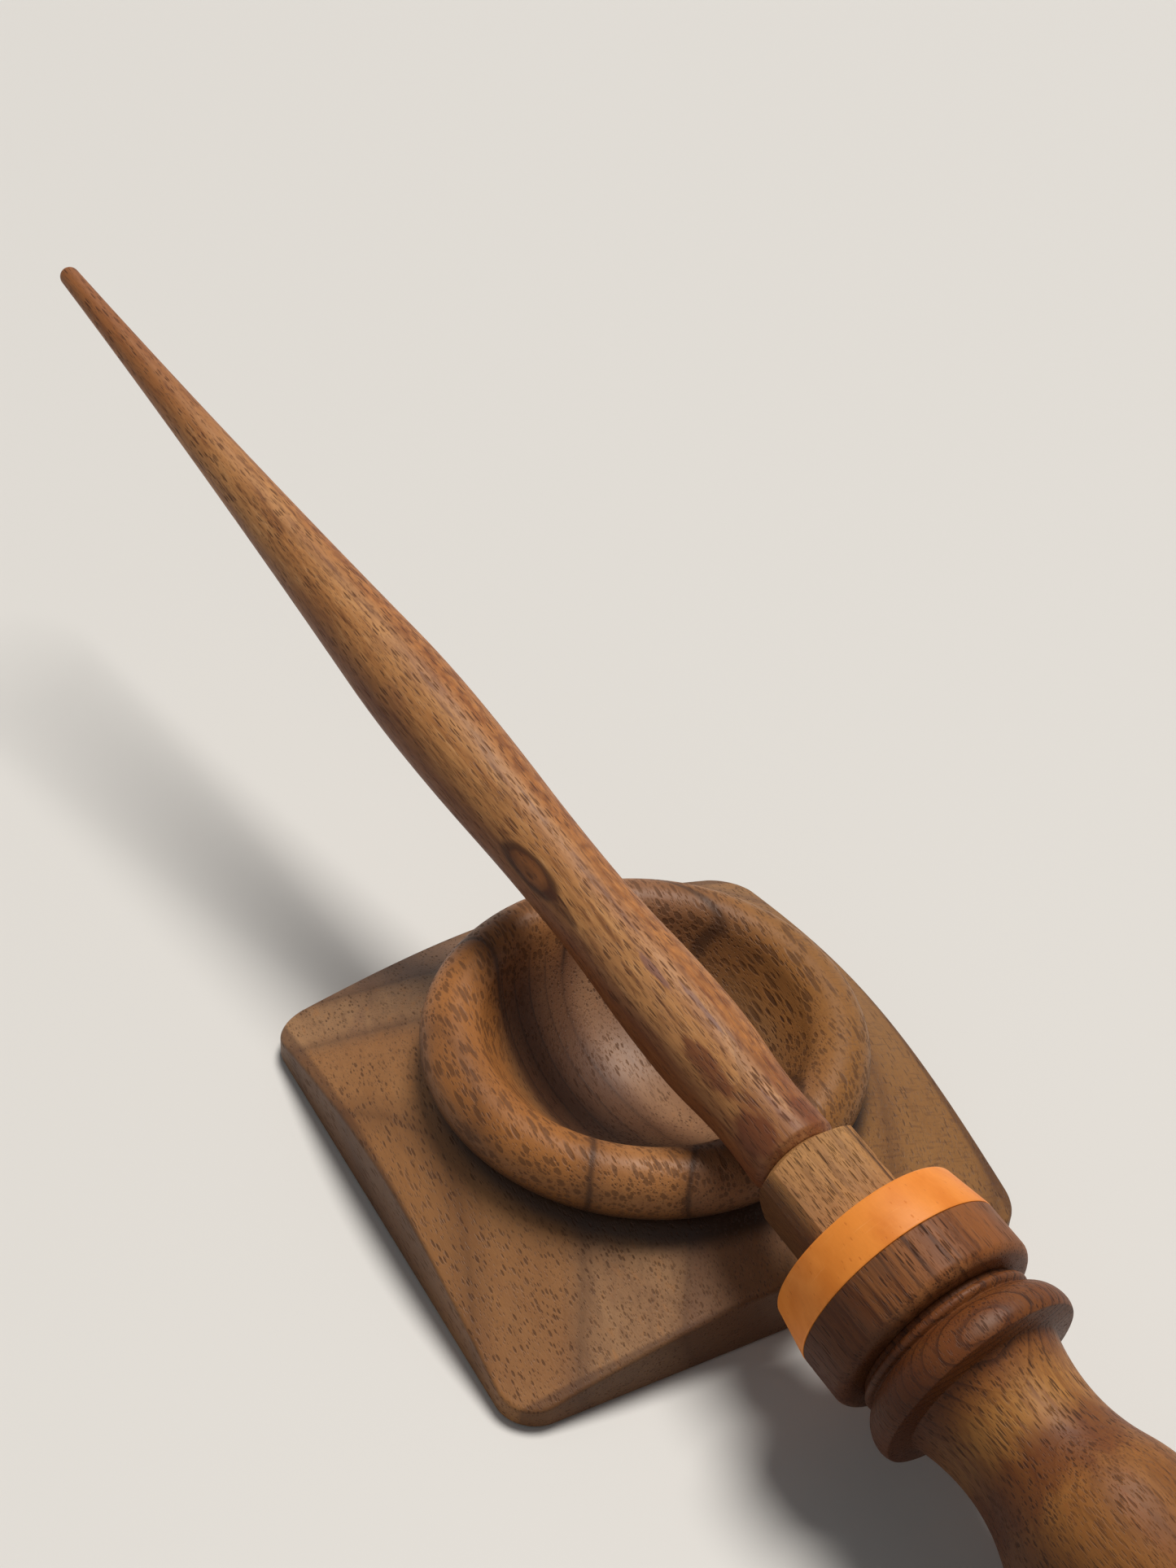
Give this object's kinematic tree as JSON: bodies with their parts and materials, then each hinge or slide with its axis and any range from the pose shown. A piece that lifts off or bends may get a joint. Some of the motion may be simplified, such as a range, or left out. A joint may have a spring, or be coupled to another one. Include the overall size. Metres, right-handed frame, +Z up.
{
  "type": "magic wand on stand",
  "caption": "Turned wooden magic wand with a faceted collar, bright band and beaded handle, leaning on its square stand with a ringed dish.",
  "frame": {"origin": "middle of the stand's flat underside, on the surface it stands on", "axes": "+Z up; the stand's sides lie along X and Y; the wand's tip points along +Y, up by about 10 degrees and towards -X by about 8 degrees"},
  "size_m": [0.08, 0.3071, 0.0649],
  "materials": {
    "stand_walnut": "oiled walnut, satin",
    "shaft_walnut": "oiled golden walnut, satin",
    "collar_walnut": "open-grained walnut, cut facets",
    "orange_wood": "smooth bright orange wood",
    "drum_walnut": "dark streaked walnut, satin",
    "handle_walnut": "dark reddish walnut, oiled"
  },
  "bodies": {
    "stand": {"stand": "stand_walnut"},
    "wand": {"shaft": "shaft_walnut", "faceted_collar": "collar_walnut", "orange_band": "orange_wood", "drum_collar": "drum_walnut", "handle": "handle_walnut"}
  },
  "joints": [
    {"name": "wand_lift", "type": "slide", "parent": "stand", "child": "wand", "axis": [0, 0, 1], "range_m": [0, 0.12]}
  ]
}
